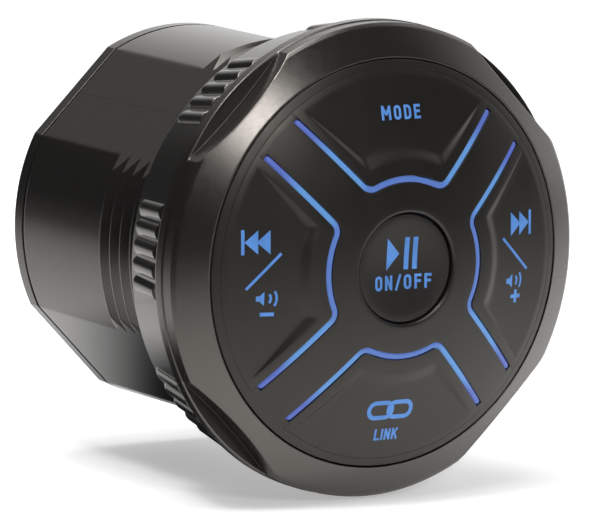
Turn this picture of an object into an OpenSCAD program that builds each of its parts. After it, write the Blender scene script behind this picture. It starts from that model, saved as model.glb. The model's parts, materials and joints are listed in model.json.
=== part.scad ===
// Round panel-mounted marine stereo: a domed keypad in a scalloped bezel, a lobed and
// threaded barrel with a grip-ribbed ring nut, and the boards inside.
// The face looks towards -Y, up is +Z, and the panel's front surface is the plane Y = 0.
// All sizes are in millimetres.

/* [Face] */
// Step from the thread's crests out to the gap line around the domed face
face_step = 0.5; // [0.3:0.1:1]
// Height of the dome over its rim
dome_h = 9; // [6:0.1:11]
// Thickness of the face's shell
face_wall = 2.4; // [2:0.1:3]
// Width of the gap around the face and around the centre key
face_gap = 0.6; // [0.4:0.05:0.9]
// Width of the fixed rim outside the sector keys
rim_w = 1.5; // [1.2:0.1:2.5]
// Width of the rolled edge of the rim
rim_roll = 1; // [0.4:0.1:1.2]
// Width of the diagonal arms, from light line to light line
arm_w = 8.8; // [7.6:0.1:11]
// Radius of the hub that the light lines bend around
hub_r = 18; // [15:0.1:20]
// Bend radius of the light lines, on the hub side
bend_r = 3.3; // [2.6:0.1:4.5]
// Width of the light lines
line_w = 1.3; // [0.9:0.1:1.6]
// Distance from the end of a light line to the keys' outer edge
line_end = 1; // [0.5:0.1:3]
// Depth of the light lines below the dome's surface
line_sink = 0.1; // [0:0.05:0.4]
// Thickness of the light guides
guide_t = 3.6; // [2.6:0.1:4]

/* [Keys] */
// Diameter of the centre key
power_d = 22.3; // [18:0.1:26]
// Depth of the centre key's finger dish
power_dish = 0.9; // [0.3:0.05:1.2]
// Gap around a sector key
key_gap = 0.3; // [0.25:0.05:0.5]
// Travel of a key
key_travel = 0.8; // [0.4:0.1:1.2]
// Depth of a sector key's finger dish at its hub end
dish_depth = 0.9; // [0.3:0.05:1.2]
// Distance from a sector key's edge to its dish
dish_margin = 2.4; // [1:0.1:3]
// Width of the sloped wall at the dish's hub end
dish_slope = 2.4; // [1:0.1:4]
// Diameter of the key stems
stem_d = 3.2; // [2.4:0.1:4]
// Distance from a sector key's stem to the edge of the barrel's front opening
stem_edge = 4.7; // [4.2:0.1:6]

/* [Bezel] */
// Width of the bezel around the face, at its four crests
bezel_w = 7.2; // [6:0.1:8]
// Distance from the gap line back to the bezel's outer rim
rim_drop = 3.9; // [2.5:0.1:5]
// Distance from the gap line back to the panel
seat_depth = 9.9; // [9:0.1:12]
// Rounding of the bezel's outer rim
rim_edge = 0.4; // [0.2:0.1:1]
// Radius of the four concave grip scallops
scallop_r = 142; // [110:2:190]
// Wall left between a scallop and the face
scallop_wall = 3.7; // [3:0.1:4.2]
// Reach of the full-round flange beyond the panel's hole
flange_w = 7.9; // [6.4:0.1:9]
// Thickness of the flange
flange_t = 2.4; // [1.4:0.1:3]
// Width of the inner ledge that the face and the barrel clamp
ledge_w = 1.6; // [1:0.1:2.4]
// Thickness of the inner ledge
ledge_t = 2; // [1.4:0.1:2.6]

/* [Barrel] */
// Outer diameter of the thread and of the collar that fits the panel's hole
thread_d = 85; // [84:0.2:86]
// Pitch of the thread
thread_pitch = 4; // [3.4:0.1:4.4]
// Turns of the thread
thread_turns = 8; // [6:1:10]
// Height of the thread over the barrel's four lobes
thread_h = 1.5; // [1.1:0.05:1.7]
// Depth of the barrel's four flats under its lobes
flat_depth = 2; // [1:0.05:2.3]
// Thickness of the barrel's wall
barrel_wall = 2.4; // [1.8:0.1:3]
// Length of the round collar behind the panel's front surface
collar_len = 3; // [2:0.1:4]
// Step from the collar in to the barrel's nose
nose_step = 0.7; // [0.6:0.1:1]
// Reach of the barrel into the bezel
nose_len = 3; // [2.6:0.1:3.4]
// Depth of the set behind the panel's front surface
body_len = 72.1; // [64:0.1:90]

/* [Ring nut] */
// Height of the ring nut's wall over the thread, at its front
nut_wall = 6.7; // [5.5:0.1:7.4]
// Width of the ring nut
nut_w = 14.1; // [11:0.1:16]
// Drop of the ring nut's outer surface from front to rear
nut_taper = 2.6; // [0:0.1:3]
// Number of groups of grip ribs
grip_groups = 8; // [4:1:10]
// Ribs in a group
grip_count = 5; // [3:1:6]
// Width of a grip rib at its foot
rib_w = 3.4; // [2.6:0.1:3.6]
// Height of a grip rib
rib_h = 0.75; // [0.5:0.05:0.9]
// Step from rib to rib, in degrees
rib_step = 4.9; // [4.6:0.1:5.4]
// Turn of the first group from straight up, in degrees
grip_turn = 4; // [0:1:10]
// Rim left behind the grip ribs
rib_rim = 1.3; // [0.8:0.1:2]
// Thickness of the slip washer in front of the nut
washer_t = 0.8; // [0.6:0.1:1.6]

/* [Fits] */
// Clearance of the nut's bore around the thread's crests
bore_clear = 0.4; // [0.3:0.05:0.6]
// Room for the edge of the panel's hole inside the washer and the nut's front
lip_clear = 1.1; // [0.9:0.1:1.6]
// Clearance between the two threads, along the axis
thread_clear = 0.35; // [0.3:0.05:0.5]
// Clearance between flange, washer and nut
face_clear = 0.3; // [0.25:0.05:0.5]
// Clearance of a key stem in its guide and its switch
stem_clear = 0.3; // [0.2:0.05:0.4]
// Clearance between the barrel's nose and the bezel
nose_clear = 0.2; // [0.1:0.05:0.3]
// Clearance of a screw's shank in its hole
screw_clear = 0.05; // [0.05:0.05:0.1]

/* [Seals] */
// Width of the panel gasket
gasket_w = 3; // [2:0.1:3.4]
// Thickness of the panel gasket
gasket_t = 0.7; // [0.4:0.1:0.8]
// Thickness of the bezel's sealing ring
ring_seal_d = 1.2; // [1:0.1:1.4]
// Thickness of the rear cover's seal
rear_seal_t = 0.8; // [0.5:0.1:1.2]
// Inset of that seal from the barrel's outline
rear_seal_in = 0.4; // [0.2:0.1:0.8]

/* [Rear cover] */
// Thickness of the rear cover
cover_t = 3; // [2.6:0.1:4]
// Diameter of the cable hole through the grommet
cable_d = 8; // [5:0.5:11]
// Diameter of the grommet's neck
grommet_d = 14; // [12.5:0.5:17]
// Diameter of the grommet's collars
grommet_rim_d = 19; // [18.2:0.5:24]
// Length of the grommet behind the cover
grommet_len = 4; // [2:0.5:8]

/* [Fasteners] */
// Shank diameter of the cover and face screws
screw_d = 2.5; // [2:0.1:3]
// Head diameter of these screws
head_d = 5.2; // [4.6:0.1:5.6]
// Head height of these screws
head_h = 1.7; // [1.2:0.1:2]

/* [Boards] */
// Thickness of the circuit boards
board_t = 1.6; // [1:0.1:2]
// Height of the key switches
switch_h = 3.5; // [3.2:0.1:5]
// Width of the key switches
switch_w = 6; // [5.6:0.1:6.4]
// Height of the main board's lower surface over the axis
main_z = -8; // [-12:0.5:-2]
// Length of the main board
main_len = 50; // [46:0.5:52]
// Diameter of the reservoir capacitors
cap_d = 10; // [8:0.5:11]
// Height of the reservoir capacitors
cap_h = 16; // [10:0.5:22]
// Width of the heat sink
sink_w = 28; // [20:0.5:30]
// Length of the heat sink
sink_len = 20; // [16:0.5:22]
// Height of the heat sink's fins
fin_h = 12; // [6:0.5:16]
// Width of the amplifier chip
chip_w = 16; // [10:0.5:20]
// Length of the amplifier chip
chip_len = 14; // [8:0.5:16]
// Height of the amplifier chip
chip_h = 2.4; // [1.6:0.1:3.5]
// Width of an inductor
coil_w = 9; // [6:0.5:10]
// Height of an inductor
coil_h = 5; // [3:0.5:8]
// Width of the wire terminal
terminal_w = 34; // [20:1:40]
// Height of the wire terminal
terminal_h = 9; // [6:0.5:12]

/* [Hidden] */
$fn = 96;
sq2 = sqrt(2);

// Colours
black_satin = [0.10, 0.10, 0.10];
black_case = [0.15, 0.15, 0.15];
black_key = [0.17, 0.16, 0.16];
blue_light = [0.35, 0.55, 0.95];
rubber = [0.06, 0.06, 0.06];
board_green = [0.05, 0.25, 0.12];
steel = [0.65, 0.65, 0.67];
dark_part = [0.12, 0.12, 0.13];
alu = [0.75, 0.76, 0.78];

// Radii of the face and its keys
thread_r = thread_d / 2;
face_r = thread_r + face_step;
frame_r = face_r - face_gap / 2;
bore_r = face_r + face_gap / 2;
window_r = frame_r - rim_w;
skirt_r = window_r + 0.3;
key_r = window_r - key_gap;
line_r = key_r - line_end;
power_r = power_d / 2;
key_in = line_w + key_gap;
dish_in = key_in + dish_margin;

// Places along the axis, from the dome's top to the rear
gap_y = -seat_depth;
apex_y = gap_y - dome_h;
front_y = apex_y - 1;
dome_r = (face_r * face_r + dome_h * dome_h) / (2 * dome_h);
dome_y = apex_y + dome_r;
nose_y = -nose_len;
ledge_y = nose_y - ledge_t;
flange_wall = 2.5;
inner_y = nose_y + flange_wall;
washer_y = face_clear;
nut_y = washer_y + washer_t + face_clear;
cover_y = body_len - cover_t;
barrel_end = cover_y - rear_seal_t;

// Radii of bezel, barrel and nut
bezel_r = face_r + bezel_w;
flange_r = thread_r + flange_w;
ledge_r = thread_r - ledge_w;
barrel_r = thread_r - thread_h;
flats_w = 2 * (barrel_r - flat_depth);
cavity_r = barrel_r - barrel_wall;
nose_r = thread_r - nose_step;
nose_bore_r = nose_r + nose_clear;
sleeve_r = thread_r + bore_clear;
lip_r = thread_r + lip_clear;
nut_r = thread_r + nut_wall;
scallop_at = bore_r + scallop_wall + scallop_r;
seal_clear = 0.05;
washer_step = 0.3;

// Thread: crest and root half widths, the slope of its flanks, and the nut's matching tip
crest_w = 0.05 * thread_pitch;
root_w = 0.465 * thread_pitch;
flank = (root_w - crest_w) / (thread_r - barrel_r);
tip_r = thread_r - (thread_pitch / 2 - 2 * crest_w - thread_clear) / flank;
lead = atan(thread_pitch / (PI * thread_d));
thread_y = collar_len + 0.2 * thread_pitch;

// Screws of the face and the rear cover
boss_r = 2.9;
boss_in = 7.8;
boss_at = window_r - boss_in;
screw_land = 0.6;
opening_r = boss_at - head_d / 2 - screw_land;
core_r = screw_d / 2 + screw_clear;
cover_boss_r = 3;
cover_boss_at = cavity_r - 2.6;
cover_boss_turn = 25;
screw_bite = 4;
cover_screw_bite = 6;

// Key stems, switches, lamps and the key board
stem_r = opening_r - stem_edge;
stem_hole_r = stem_d / 2 + stem_clear;
switch_dip = 0.6;
switch_y = nose_y + 1;
key_board_y = switch_y + switch_h;
key_board_end = key_board_y + board_t;
key_board_r = opening_r - 0.8;
post_at = opening_r - 8.2;
post_r = 2.5;
post_core_r = 0.9;
post_screw_r = 0.85;
post_hole_r = 1.2;
post_head_r = 1.9;
post_head_h = 1.2;
post_bite = 3;
lamp_at = opening_r - 3.7;
lamp_off = arm_w / 2 + line_w / 2;
lamp_hole_r = 2.2;
lamp_w = 2;
lamp_h = 0.8;

// Main board, its rails and the pieces on it
rail_w = 3.2;
rail_t = 2;
rail_sink = 0.6;
link_len = 3;
main_y = key_board_end + link_len;
main_top = main_z + board_t;
main_half = sqrt(cavity_r * cavity_r - pow(abs(main_z) + 3, 2)) - rail_sink;
part_gap = 3;
cap_x = rail_w + cap_d / 2 + part_gap - main_half;
coil_x = main_half - rail_w - coil_w / 2 - part_gap;
sink_x = coil_x - coil_w / 2 - 1.5 - sink_w / 2;
sink_y = 12;
row_y = 10;
row_step = 12;
radio_w = 12;
radio_len = 16;
radio_h = 2.2;
link_w = 24;
link_h = 6;
link_reach = 5;
terminal_len = 10;
terminal_in = 8;

// Depth of the dome's surface at a distance from the axis
function dome_at(r) = dome_y - sqrt(dome_r * dome_r - r * r);

// Place along the axis, on the line through two points of a profile, at a distance from the axis
function on_line(a, b, r) = a[1] + (b[1] - a[1]) * (r - a[0]) / (b[0] - a[0]);

// A point given along and across the diagonal of a key's corner
function diagonal(u, v) = [(u - v) / sq2, (u + v) / sq2];

// Flat outline extruded along the axis from one place to another
module along_y(from, to) {
    translate([0, to, 0])
        rotate([90, 0, 0])
            linear_extrude(to - from)
                children();
}

// Round bar along the axis
module rod(from, to, r, x = 0, z = 0) {
    translate([x, to, z])
        rotate([90, 0, 0])
            cylinder(h = to - from, r = r);
}

// Cone along the axis
module taper(from, to, r_from, r_to) {
    translate([0, to, 0])
        rotate([90, 0, 0])
            cylinder(h = to - from, r1 = r_to, r2 = r_from);
}

// Plain ring around the axis
module ring(from, to, r_out, r_in) {
    difference() {
        rod(from, to, r_out);
        rod(from - 1, to + 1, r_in);
    }
}

// Copies turned evenly around the axis
module around(count, start = 0) {
    for (k = [0 : count - 1])
        rotate([0, start + k * 360 / count, 0])
            children();
}

// Profile of distance from the axis and place along it, turned around the axis
module turned(points) {
    rotate([-90, 0, 0])
        rotate_extrude()
            polygon(points);
}

// The same profile over an arc that is centred straight up
module turned_arc(points, half) {
    rotate([-90, 0, 0])
        rotate([0, 0, -90 - half])
            rotate_extrude(angle = 2 * half)
                polygon(points);
}

// Stretch of a helical ridge, tilted to the thread's lead
module thread_ridge(points, turn, start, half) {
    rotate([0, turn, 0])
        translate([0, start + thread_pitch * turn / 360, 0])
            rotate([0, 0, lead])
                turned_arc(points, half);
}

// Disc whose edge is the dome's half section, sunk by an inset
module dome_2d(inset) {
    translate([0, dome_y])
        circle(r = dome_r - inset, $fn = 720);
}

// Shell that follows the dome, out to a distance from the axis
module dome_shell(inset, wall, reach) {
    rotate([-90, 0, 0])
        rotate_extrude()
            intersection() {
                difference() {
                    dome_2d(inset);
                    dome_2d(inset + wall);
                }
                translate([0, front_y])
                    square([reach, -front_y]);
            }
}

// What the bend of a light line takes off a sharp corner. Its arc is drawn a little large,
// so that it crosses the side and the hub instead of only touching them.
module bend_2d(across, inner, bend) {
    along = sqrt(pow(inner + bend, 2) - pow(across + bend, 2));
    centre = diagonal(along, across + bend);
    corner = sqrt(inner * inner - across * across);
    difference() {
        polygon([
            diagonal(corner - 1, across - 1),
            diagonal(along, across - 1),
            centre,
            centre * (inner - 1) / (inner + bend)
        ]);
        translate(centre)
            circle(r = bend + 0.01);
    }
}

// Outline of a key sector: beside two arms, outside the hub, with bent corners
module sector_2d(inset, outer) {
    across = arm_w / 2 + inset;
    inner = hub_r + inset;
    bend = max(bend_r - inset, 0.5);
    difference() {
        intersection() {
            circle(r = outer);
            polygon([
                [0, across * sq2],
                [outer, outer + across * sq2],
                [-outer, outer + across * sq2]
            ]);
        }
        circle(r = inner);
        bend_2d(across, inner, bend);
        mirror([1, 0])
            bend_2d(across, inner, bend);
    }
}

// Outline of the barrel: four round lobes and four flats on the diagonals
module lobed_2d(inset) {
    intersection() {
        circle(r = barrel_r - inset);
        rotate(45)
            square(flats_w - 2 * inset, center = true);
    }
}

// Places of the screws that hold the rear cover
module at_cover_screws() {
    for (side = [0, 180], turn = [-cover_boss_turn, cover_boss_turn])
        rotate([0, side + turn, 0])
            translate([0, 0, cover_boss_at])
                children();
}

// Places of the screws that hold the face
module at_face_screws() {
    around(4, 45)
        translate([0, 0, boss_at])
            children();
}

// Places of the posts under the key board
module at_posts() {
    around(4, 45)
        translate([0, 0, post_at])
            children();
}

// Places of the lamps under the light lines
module at_lamps() {
    around(4, 45)
        for (side = [-1, 1])
            translate([side * lamp_off, 0, lamp_at])
                children();
}

// Places of the five key stems
module at_stems() {
    children();
    around(4)
        translate([0, 0, stem_r])
            children();
}

// Domed bezel with four scallops over a full-round flange
module bezel() {
    rim_y = gap_y + rim_drop;
    ball_y = (bezel_r * bezel_r - bore_r * bore_r + rim_y * rim_y - gap_y * gap_y) / (2 * rim_drop);
    ball_r = sqrt(bore_r * bore_r + pow(ball_y - gap_y, 2));
    edge_y = rim_y - rim_edge * 0.3;
    color(black_satin)
        difference() {
            union() {
                difference() {
                    intersection() {
                        translate([0, ball_y, 0])
                            sphere(r = ball_r);
                        rod(front_y, -flange_t / 2, bezel_r);
                        taper(edge_y - 8, edge_y + 8, bezel_r - rim_edge - 8, bezel_r - rim_edge + 8);
                    }
                    around(4, 45)
                        rod(front_y, -flange_t, scallop_r, z = scallop_at);
                }
                rod(-flange_t, 0, flange_r);
            }
            rod(front_y, ledge_y, bore_r);
            rod(ledge_y - 1, nose_y + 1, ledge_r);
            rod(nose_y, 1, nose_bore_r);
            gasket_ring(1);
        }
}

// Room and body of the panel gasket
module gasket_ring(over) {
    gasket_r = (flange_r + thread_r) / 2;
    ring(-gasket_t, over, gasket_r + gasket_w / 2, gasket_r - gasket_w / 2);
}

// Ring that seals the flange on the panel
module panel_gasket() {
    color(rubber)
        gasket_ring(0);
}

// Sealing ring between the barrel's nose and the bezel
module bezel_seal() {
    color(rubber)
        rotate([-90, 0, 0])
            rotate_extrude()
                translate([nose_bore_r - seal_clear - ring_seal_d / 2, nose_y / 2])
                    circle(d = ring_seal_d);
}

// Half section of the fixed face: shell, rolled rim and skirt
module frame_2d() {
    hub_hole = power_r + face_gap;
    roll_r = frame_r - rim_roll;
    roll_y = dome_at(roll_r);
    difference() {
        intersection() {
            dome_2d(0);
            polygon([
                [hub_hole, front_y],
                [roll_r + front_y - roll_y, front_y],
                [frame_r, roll_y + rim_roll],
                [frame_r, ledge_y],
                [hub_hole, ledge_y]
            ]);
        }
        intersection() {
            dome_2d(face_wall);
            translate([0, front_y])
                square([skirt_r, -front_y]);
        }
    }
}

// Fixed part of the face: rim, arms and hub, with a skirt and four screw bosses
module face_frame() {
    color(black_key)
        difference() {
            union() {
                rotate([-90, 0, 0])
                    rotate_extrude()
                        frame_2d();
                at_face_screws()
                    rod(dome_at(boss_at) + face_wall - 0.8, ledge_y, boss_r);
            }
            around(4)
                along_y(front_y, ledge_y - 1) {
                    sector_2d(0, line_r);
                    sector_2d(line_w, window_r);
                }
            at_face_screws()
                rod(ledge_y - 5, ledge_y + 1, core_r);
        }
}

// Stem that runs from a key into its switch
module key_stem(at) {
    rod(dome_at(at) + face_wall - 0.8, switch_y + switch_dip, stem_d / 2, z = at);
}

// Sector key with a finger dish that runs out towards the rim
module sector_key() {
    hub_end = hub_r + dish_in;
    floor_at = [hub_end + dish_slope, dome_at(hub_end + dish_slope) + dish_depth];
    edge_at = [hub_end, dome_at(hub_end) + 0.1];
    run_out = [key_r - 1, dome_at(key_r - 1)];
    reach = key_r + 2;
    color(black_key)
        difference() {
            union() {
                intersection() {
                    dome_shell(0, face_wall, face_r);
                    along_y(front_y, ledge_y)
                        sector_2d(key_in, key_r);
                }
                key_stem(stem_r);
            }
            intersection() {
                along_y(front_y, ledge_y)
                    sector_2d(dish_in, key_r + 1);
                turned([
                    [hub_r, front_y - 1],
                    [hub_r, on_line(edge_at, floor_at, hub_r)],
                    floor_at,
                    [reach, on_line(floor_at, run_out, reach)],
                    [reach, front_y - 1]
                ]);
            }
        }
}

module mode_key() {
    sector_key();
}

module next_key() {
    rotate([0, 90, 0])
        sector_key();
}

module link_key() {
    rotate([0, 180, 0])
        sector_key();
}

module previous_key() {
    rotate([0, 270, 0])
        sector_key();
}

// Round centre key with a concave finger dish
module power_key() {
    dish_r = power_r - 0.8;
    ball_r = (dish_r * dish_r + power_dish * power_dish) / (2 * power_dish);
    color(black_key)
        difference() {
            union() {
                dome_shell(0, face_wall, power_r);
                key_stem(0);
            }
            translate([0, dome_at(dish_r) + power_dish - ball_r, 0])
                rotate([90, 0, 0])
                    sphere(r = ball_r, $fn = 240);
        }
}

// Four bent light lines between the arms and the keys
module light_guides() {
    color(blue_light)
        around(4)
            intersection() {
                dome_shell(line_sink, guide_t, face_r);
                along_y(front_y, ledge_y - 0.5)
                    difference() {
                        sector_2d(0, line_r);
                        sector_2d(line_w, window_r + 2);
                    }
            }
}

// Plate that guides the stems, lets the lamps through and carries the key board
module chassis() {
    color(black_case)
        difference() {
            union() {
                rod(ledge_y, nose_y, ledge_r - 0.2);
                at_posts()
                    rod(nose_y - 0.5, key_board_y, post_r);
            }
            at_stems()
                rod(ledge_y - 1, nose_y + 1, stem_hole_r);
            at_face_screws()
                rod(ledge_y - 1, nose_y + 1, screw_d / 2 + 0.4);
            at_lamps()
                rod(ledge_y - 1, nose_y + 1, lamp_hole_r);
            at_posts()
                rod(key_board_y - 4, key_board_y + 1, post_core_r);
        }
}

// Round board behind the chassis
module key_board() {
    color(board_green)
        difference() {
            rod(key_board_y, key_board_end, key_board_r);
            at_posts()
                rod(key_board_y - 1, key_board_end + 1, post_hole_r);
        }
}

// Five key switches, open for the stems
module tact_switches() {
    depth = switch_dip + key_travel + 0.4;
    color(dark_part)
        at_stems()
            difference() {
                translate([-switch_w / 2, switch_y, -switch_w / 2])
                    cube([switch_w, switch_h, switch_w]);
                rod(switch_y - 1, switch_y + depth, stem_hole_r);
            }
}

// Lamps that feed the light lines
module lamps() {
    color(blue_light)
        at_lamps()
            translate([-lamp_w / 2, key_board_y - lamp_h, -lamp_w / 2])
                cube([lamp_w, lamp_h, lamp_w]);
}

// Pan-head screw whose shank points forwards
module screw(seat, shank_r, length, head_r, height) {
    rod(seat - length, seat + 0.1, shank_r);
    rod(seat, seat + height, head_r);
}

module front_screws() {
    color(steel)
        at_face_screws()
            screw(inner_y, screw_d / 2, flange_wall + ledge_t + screw_bite, head_d / 2, head_h);
}

module board_screws() {
    color(steel)
        at_posts()
            screw(key_board_end, post_screw_r, board_t + post_bite, post_head_r, post_head_h);
}

module rear_screws() {
    color(steel)
        at_cover_screws()
            screw(body_len - head_h - 0.2, screw_d / 2, cover_t + cover_screw_bite, head_d / 2, head_h);
}

// Thin ring between flange and nut
module slip_washer() {
    color(black_satin)
        ring(washer_y, washer_y + washer_t, nut_r - washer_step, lip_r);
}

// Round rib of the nut's grip, along Y, with its foot at the origin
module grip_rib(from, to) {
    rib_r = (rib_w * rib_w / 4 + rib_h * rib_h) / (2 * rib_h);
    translate([0, 0, rib_h - rib_r]) {
        rod(from, to, rib_r);
        translate([0, to, 0])
            sphere(r = rib_r - 0.02);
    }
}

// Tapered ring nut with groups of grip ribs and one turn of broken inner thread
module ring_nut() {
    nut_end = nut_y + nut_w;
    edge = 0.4;
    lip_end = collar_len + 0.4;
    root_r = sleeve_r + 0.1;
    root_half = crest_w + (root_r - tip_r) * flank;
    rear_r = nut_r - nut_taper;
    slope = atan(nut_taper / nut_w);
    rib_len = nut_w / cos(slope) - rib_rim - rib_w / 2;
    color(black_case) {
        difference() {
            union() {
                turned([
                    [0, nut_y - 2],
                    [nut_r + 2 * tan(slope), nut_y - 2],
                    [rear_r + edge * tan(slope), nut_end - edge],
                    [rear_r - edge, nut_end],
                    [0, nut_end]
                ]);
                around(grip_groups, grip_turn)
                    for (k = [0 : grip_count - 1])
                        rotate([0, (k - (grip_count - 1) / 2) * rib_step, 0])
                            translate([0, nut_y, nut_r])
                                rotate([-slope, 0, 0])
                                    grip_rib(-1, rib_len);
            }
            turned([
                [0, nut_y - 3],
                [nut_r + 3, nut_y - 3],
                [nut_r + 3, nut_y + 3 + edge],
                [nut_r - edge, nut_y],
                [lip_r, nut_y],
                [lip_r, lip_end],
                [sleeve_r, lip_end],
                [sleeve_r, nut_end - edge],
                [sleeve_r + edge, nut_end],
                [sleeve_r + edge, nut_end + 1],
                [0, nut_end + 1]
            ]);
        }
        for (turn = [45 : 45 : 270])
            thread_ridge([
                [tip_r, -crest_w],
                [root_r, -root_half],
                [root_r, root_half],
                [tip_r, crest_w]
            ], turn, thread_y + thread_pitch / 2, 20);
    }
}

// Lobed tube with nose, collar, broken thread, screw bosses and board rails
module barrel() {
    seal_r = nose_bore_r - ring_seal_d - 2 * seal_clear;
    foot_r = barrel_r - 0.4;
    foot_w = crest_w + (thread_r - foot_r) * flank;
    color(black_case)
        difference() {
            union() {
                rod(nose_y, 0.5, nose_r);
                rod(0, collar_len, thread_r);
                along_y(0, barrel_end)
                    lobed_2d(0);
                intersection() {
                    for (k = [0 : thread_turns - 1], lobe = [0 : 90 : 270])
                        thread_ridge([
                            [foot_r, -foot_w],
                            [thread_r, -crest_w],
                            [thread_r, crest_w],
                            [foot_r, foot_w]
                        ], lobe, thread_y + k * thread_pitch, 32);
                    along_y(0, barrel_end)
                        rotate(45)
                            square(flats_w, center = true);
                }
            }
            difference() {
                along_y(inner_y, barrel_end + 1)
                    lobed_2d(barrel_wall);
                at_cover_screws()
                    rod(barrel_end - 12, barrel_end + 2, cover_boss_r);
                for (side = [-1, 1], level = [main_z - rail_t / 2, main_top + rail_t / 2])
                    translate([side * (main_half + rail_t - rail_w / 2), main_y + main_len / 2, level])
                        cube([rail_w + 2 * rail_t, main_len, rail_t], center = true);
            }
            rod(nose_y - 1, inner_y + 1, opening_r);
            ring(nose_y / 2 - 0.8, nose_y / 2 + 0.8, thread_r + 1, seal_r);
            at_face_screws()
                rod(nose_y - 1, inner_y + 1, screw_d / 2 + 0.4);
            at_cover_screws()
                rod(barrel_end - 10, barrel_end + 3, core_r);
        }
}

// Lobed seal under the rear cover
module rear_seal() {
    color(rubber)
        difference() {
            along_y(barrel_end, cover_y)
                lobed_2d(rear_seal_in);
            along_y(barrel_end - 1, cover_y + 1)
                lobed_2d(barrel_wall);
            at_cover_screws()
                rod(barrel_end - 1, cover_y + 1, screw_d / 2 + 0.3);
        }
}

// Plate that closes the barrel, with sunk screw seats and a locating rim
module rear_cover() {
    rim_in = barrel_wall + 0.2;
    color(black_case)
        difference() {
            union() {
                along_y(cover_y, body_len)
                    lobed_2d(0);
                difference() {
                    along_y(barrel_end - 2, cover_y + 0.5)
                        lobed_2d(rim_in);
                    along_y(barrel_end - 3, cover_y)
                        lobed_2d(rim_in + 1.6);
                    at_cover_screws()
                        rod(barrel_end - 3, cover_y, cover_boss_r + 0.6);
                }
            }
            at_cover_screws() {
                rod(cover_y - 1, body_len + 1, screw_d / 2 + 0.3);
                rod(body_len - head_h - 0.2, body_len + 1, head_d / 2 + 0.3);
            }
            rod(cover_y - 1, body_len + 1, grommet_d / 2);
        }
}

// Rubber bush for the cable, with a collar on each side of the cover
module cable_grommet() {
    collar = 1.6;
    neck_r = grommet_d / 2;
    rim_r = grommet_rim_d / 2;
    hole_r = cable_d / 2;
    end_y = body_len + grommet_len;
    color(rubber)
        turned([
            [hole_r, cover_y - collar],
            [rim_r, cover_y - collar],
            [rim_r, cover_y],
            [neck_r, cover_y],
            [neck_r, body_len],
            [rim_r, body_len],
            [rim_r, body_len + collar],
            [neck_r - 1, end_y],
            [hole_r, end_y]
        ]);
}

// Block on the main board, given by its place, size and height
module on_board(x, y, w, l, h) {
    translate([x - w / 2, main_y + y - l / 2, main_top])
        cube([w, l, h]);
}

module main_board() {
    color(board_green)
        translate([-main_half, main_y, main_z])
            cube([2 * main_half, main_len, board_t]);
}

// Plug block from the key board's back to the main board's front edge
module link_connector() {
    color(dark_part)
        translate([-link_w / 2, key_board_end, main_top])
            cube([link_w, link_len + link_reach, link_h]);
}

module amplifier_chip() {
    color(dark_part)
        on_board(sink_x, sink_y + sink_len / 2, chip_w, chip_len, chip_h);
}

// Finned block on the amplifier
module heat_sink() {
    base = 3;
    fins = 6;
    fin_t = 1.6;
    color(alu)
        translate([sink_x - sink_w / 2, main_y + sink_y, main_top + chip_h]) {
            cube([sink_w, sink_len, base]);
            for (k = [0 : fins - 1])
                translate([k * (sink_w - fin_t) / (fins - 1), 0, 0])
                    cube([fin_t, sink_len, base + fin_h]);
        }
}

module capacitors() {
    color(dark_part)
        for (k = [0 : 2])
            translate([cap_x, main_y + row_y + k * row_step, main_top])
                cylinder(d = cap_d, h = cap_h);
}

module inductors() {
    color(dark_part)
        for (k = [0 : 2])
            on_board(coil_x, row_y + k * row_step, coil_w, coil_w, coil_h);
}

module radio_module() {
    color(alu)
        on_board(cap_x + cap_d / 2 + part_gap + radio_w / 2, sink_y + radio_len / 2, radio_w, radio_len, radio_h);
}

module wire_terminal() {
    color(dark_part)
        on_board(0, main_len - terminal_in, terminal_w, terminal_len, terminal_h);
}

bezel();
face_frame();
mode_key();
previous_key();
next_key();
link_key();
power_key();
light_guides();
chassis();
key_board();
tact_switches();
lamps();
front_screws();
board_screws();
bezel_seal();
panel_gasket();
slip_washer();
ring_nut();
barrel();
rear_seal();
rear_cover();
rear_screws();
cable_grommet();
main_board();
link_connector();
amplifier_chip();
heat_sink();
capacitors();
inductors();
radio_module();
wire_terminal();
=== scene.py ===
"""Looks of a round marine stereo for a panel hole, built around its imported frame."""

import json
import math
from itertools import compress

import bmesh
import bpy
import numpy as np
from mathutils import Matrix, Vector
from mathutils.geometry import delaunay_2d_cdt


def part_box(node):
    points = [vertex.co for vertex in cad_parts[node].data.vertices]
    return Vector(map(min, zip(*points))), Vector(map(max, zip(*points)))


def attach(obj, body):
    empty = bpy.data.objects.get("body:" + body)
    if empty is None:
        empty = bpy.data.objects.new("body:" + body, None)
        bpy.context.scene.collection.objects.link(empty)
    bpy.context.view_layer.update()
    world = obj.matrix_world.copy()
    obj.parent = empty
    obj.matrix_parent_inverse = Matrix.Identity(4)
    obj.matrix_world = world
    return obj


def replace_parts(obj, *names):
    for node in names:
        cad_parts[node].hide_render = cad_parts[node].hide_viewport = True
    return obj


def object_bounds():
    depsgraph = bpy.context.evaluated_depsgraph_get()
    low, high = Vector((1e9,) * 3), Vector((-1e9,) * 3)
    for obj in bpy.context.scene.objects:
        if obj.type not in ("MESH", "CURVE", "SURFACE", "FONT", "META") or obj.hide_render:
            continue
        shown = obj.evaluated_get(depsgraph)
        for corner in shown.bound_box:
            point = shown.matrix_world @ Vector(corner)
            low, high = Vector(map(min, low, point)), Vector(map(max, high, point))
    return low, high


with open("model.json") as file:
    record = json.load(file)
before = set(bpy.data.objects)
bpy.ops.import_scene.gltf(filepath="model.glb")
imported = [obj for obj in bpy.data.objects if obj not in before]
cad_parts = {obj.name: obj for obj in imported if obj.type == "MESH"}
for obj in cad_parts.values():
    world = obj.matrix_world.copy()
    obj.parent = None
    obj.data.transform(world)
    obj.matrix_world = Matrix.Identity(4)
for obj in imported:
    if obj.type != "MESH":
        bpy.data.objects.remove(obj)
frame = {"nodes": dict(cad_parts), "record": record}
cad_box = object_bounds()
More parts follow.
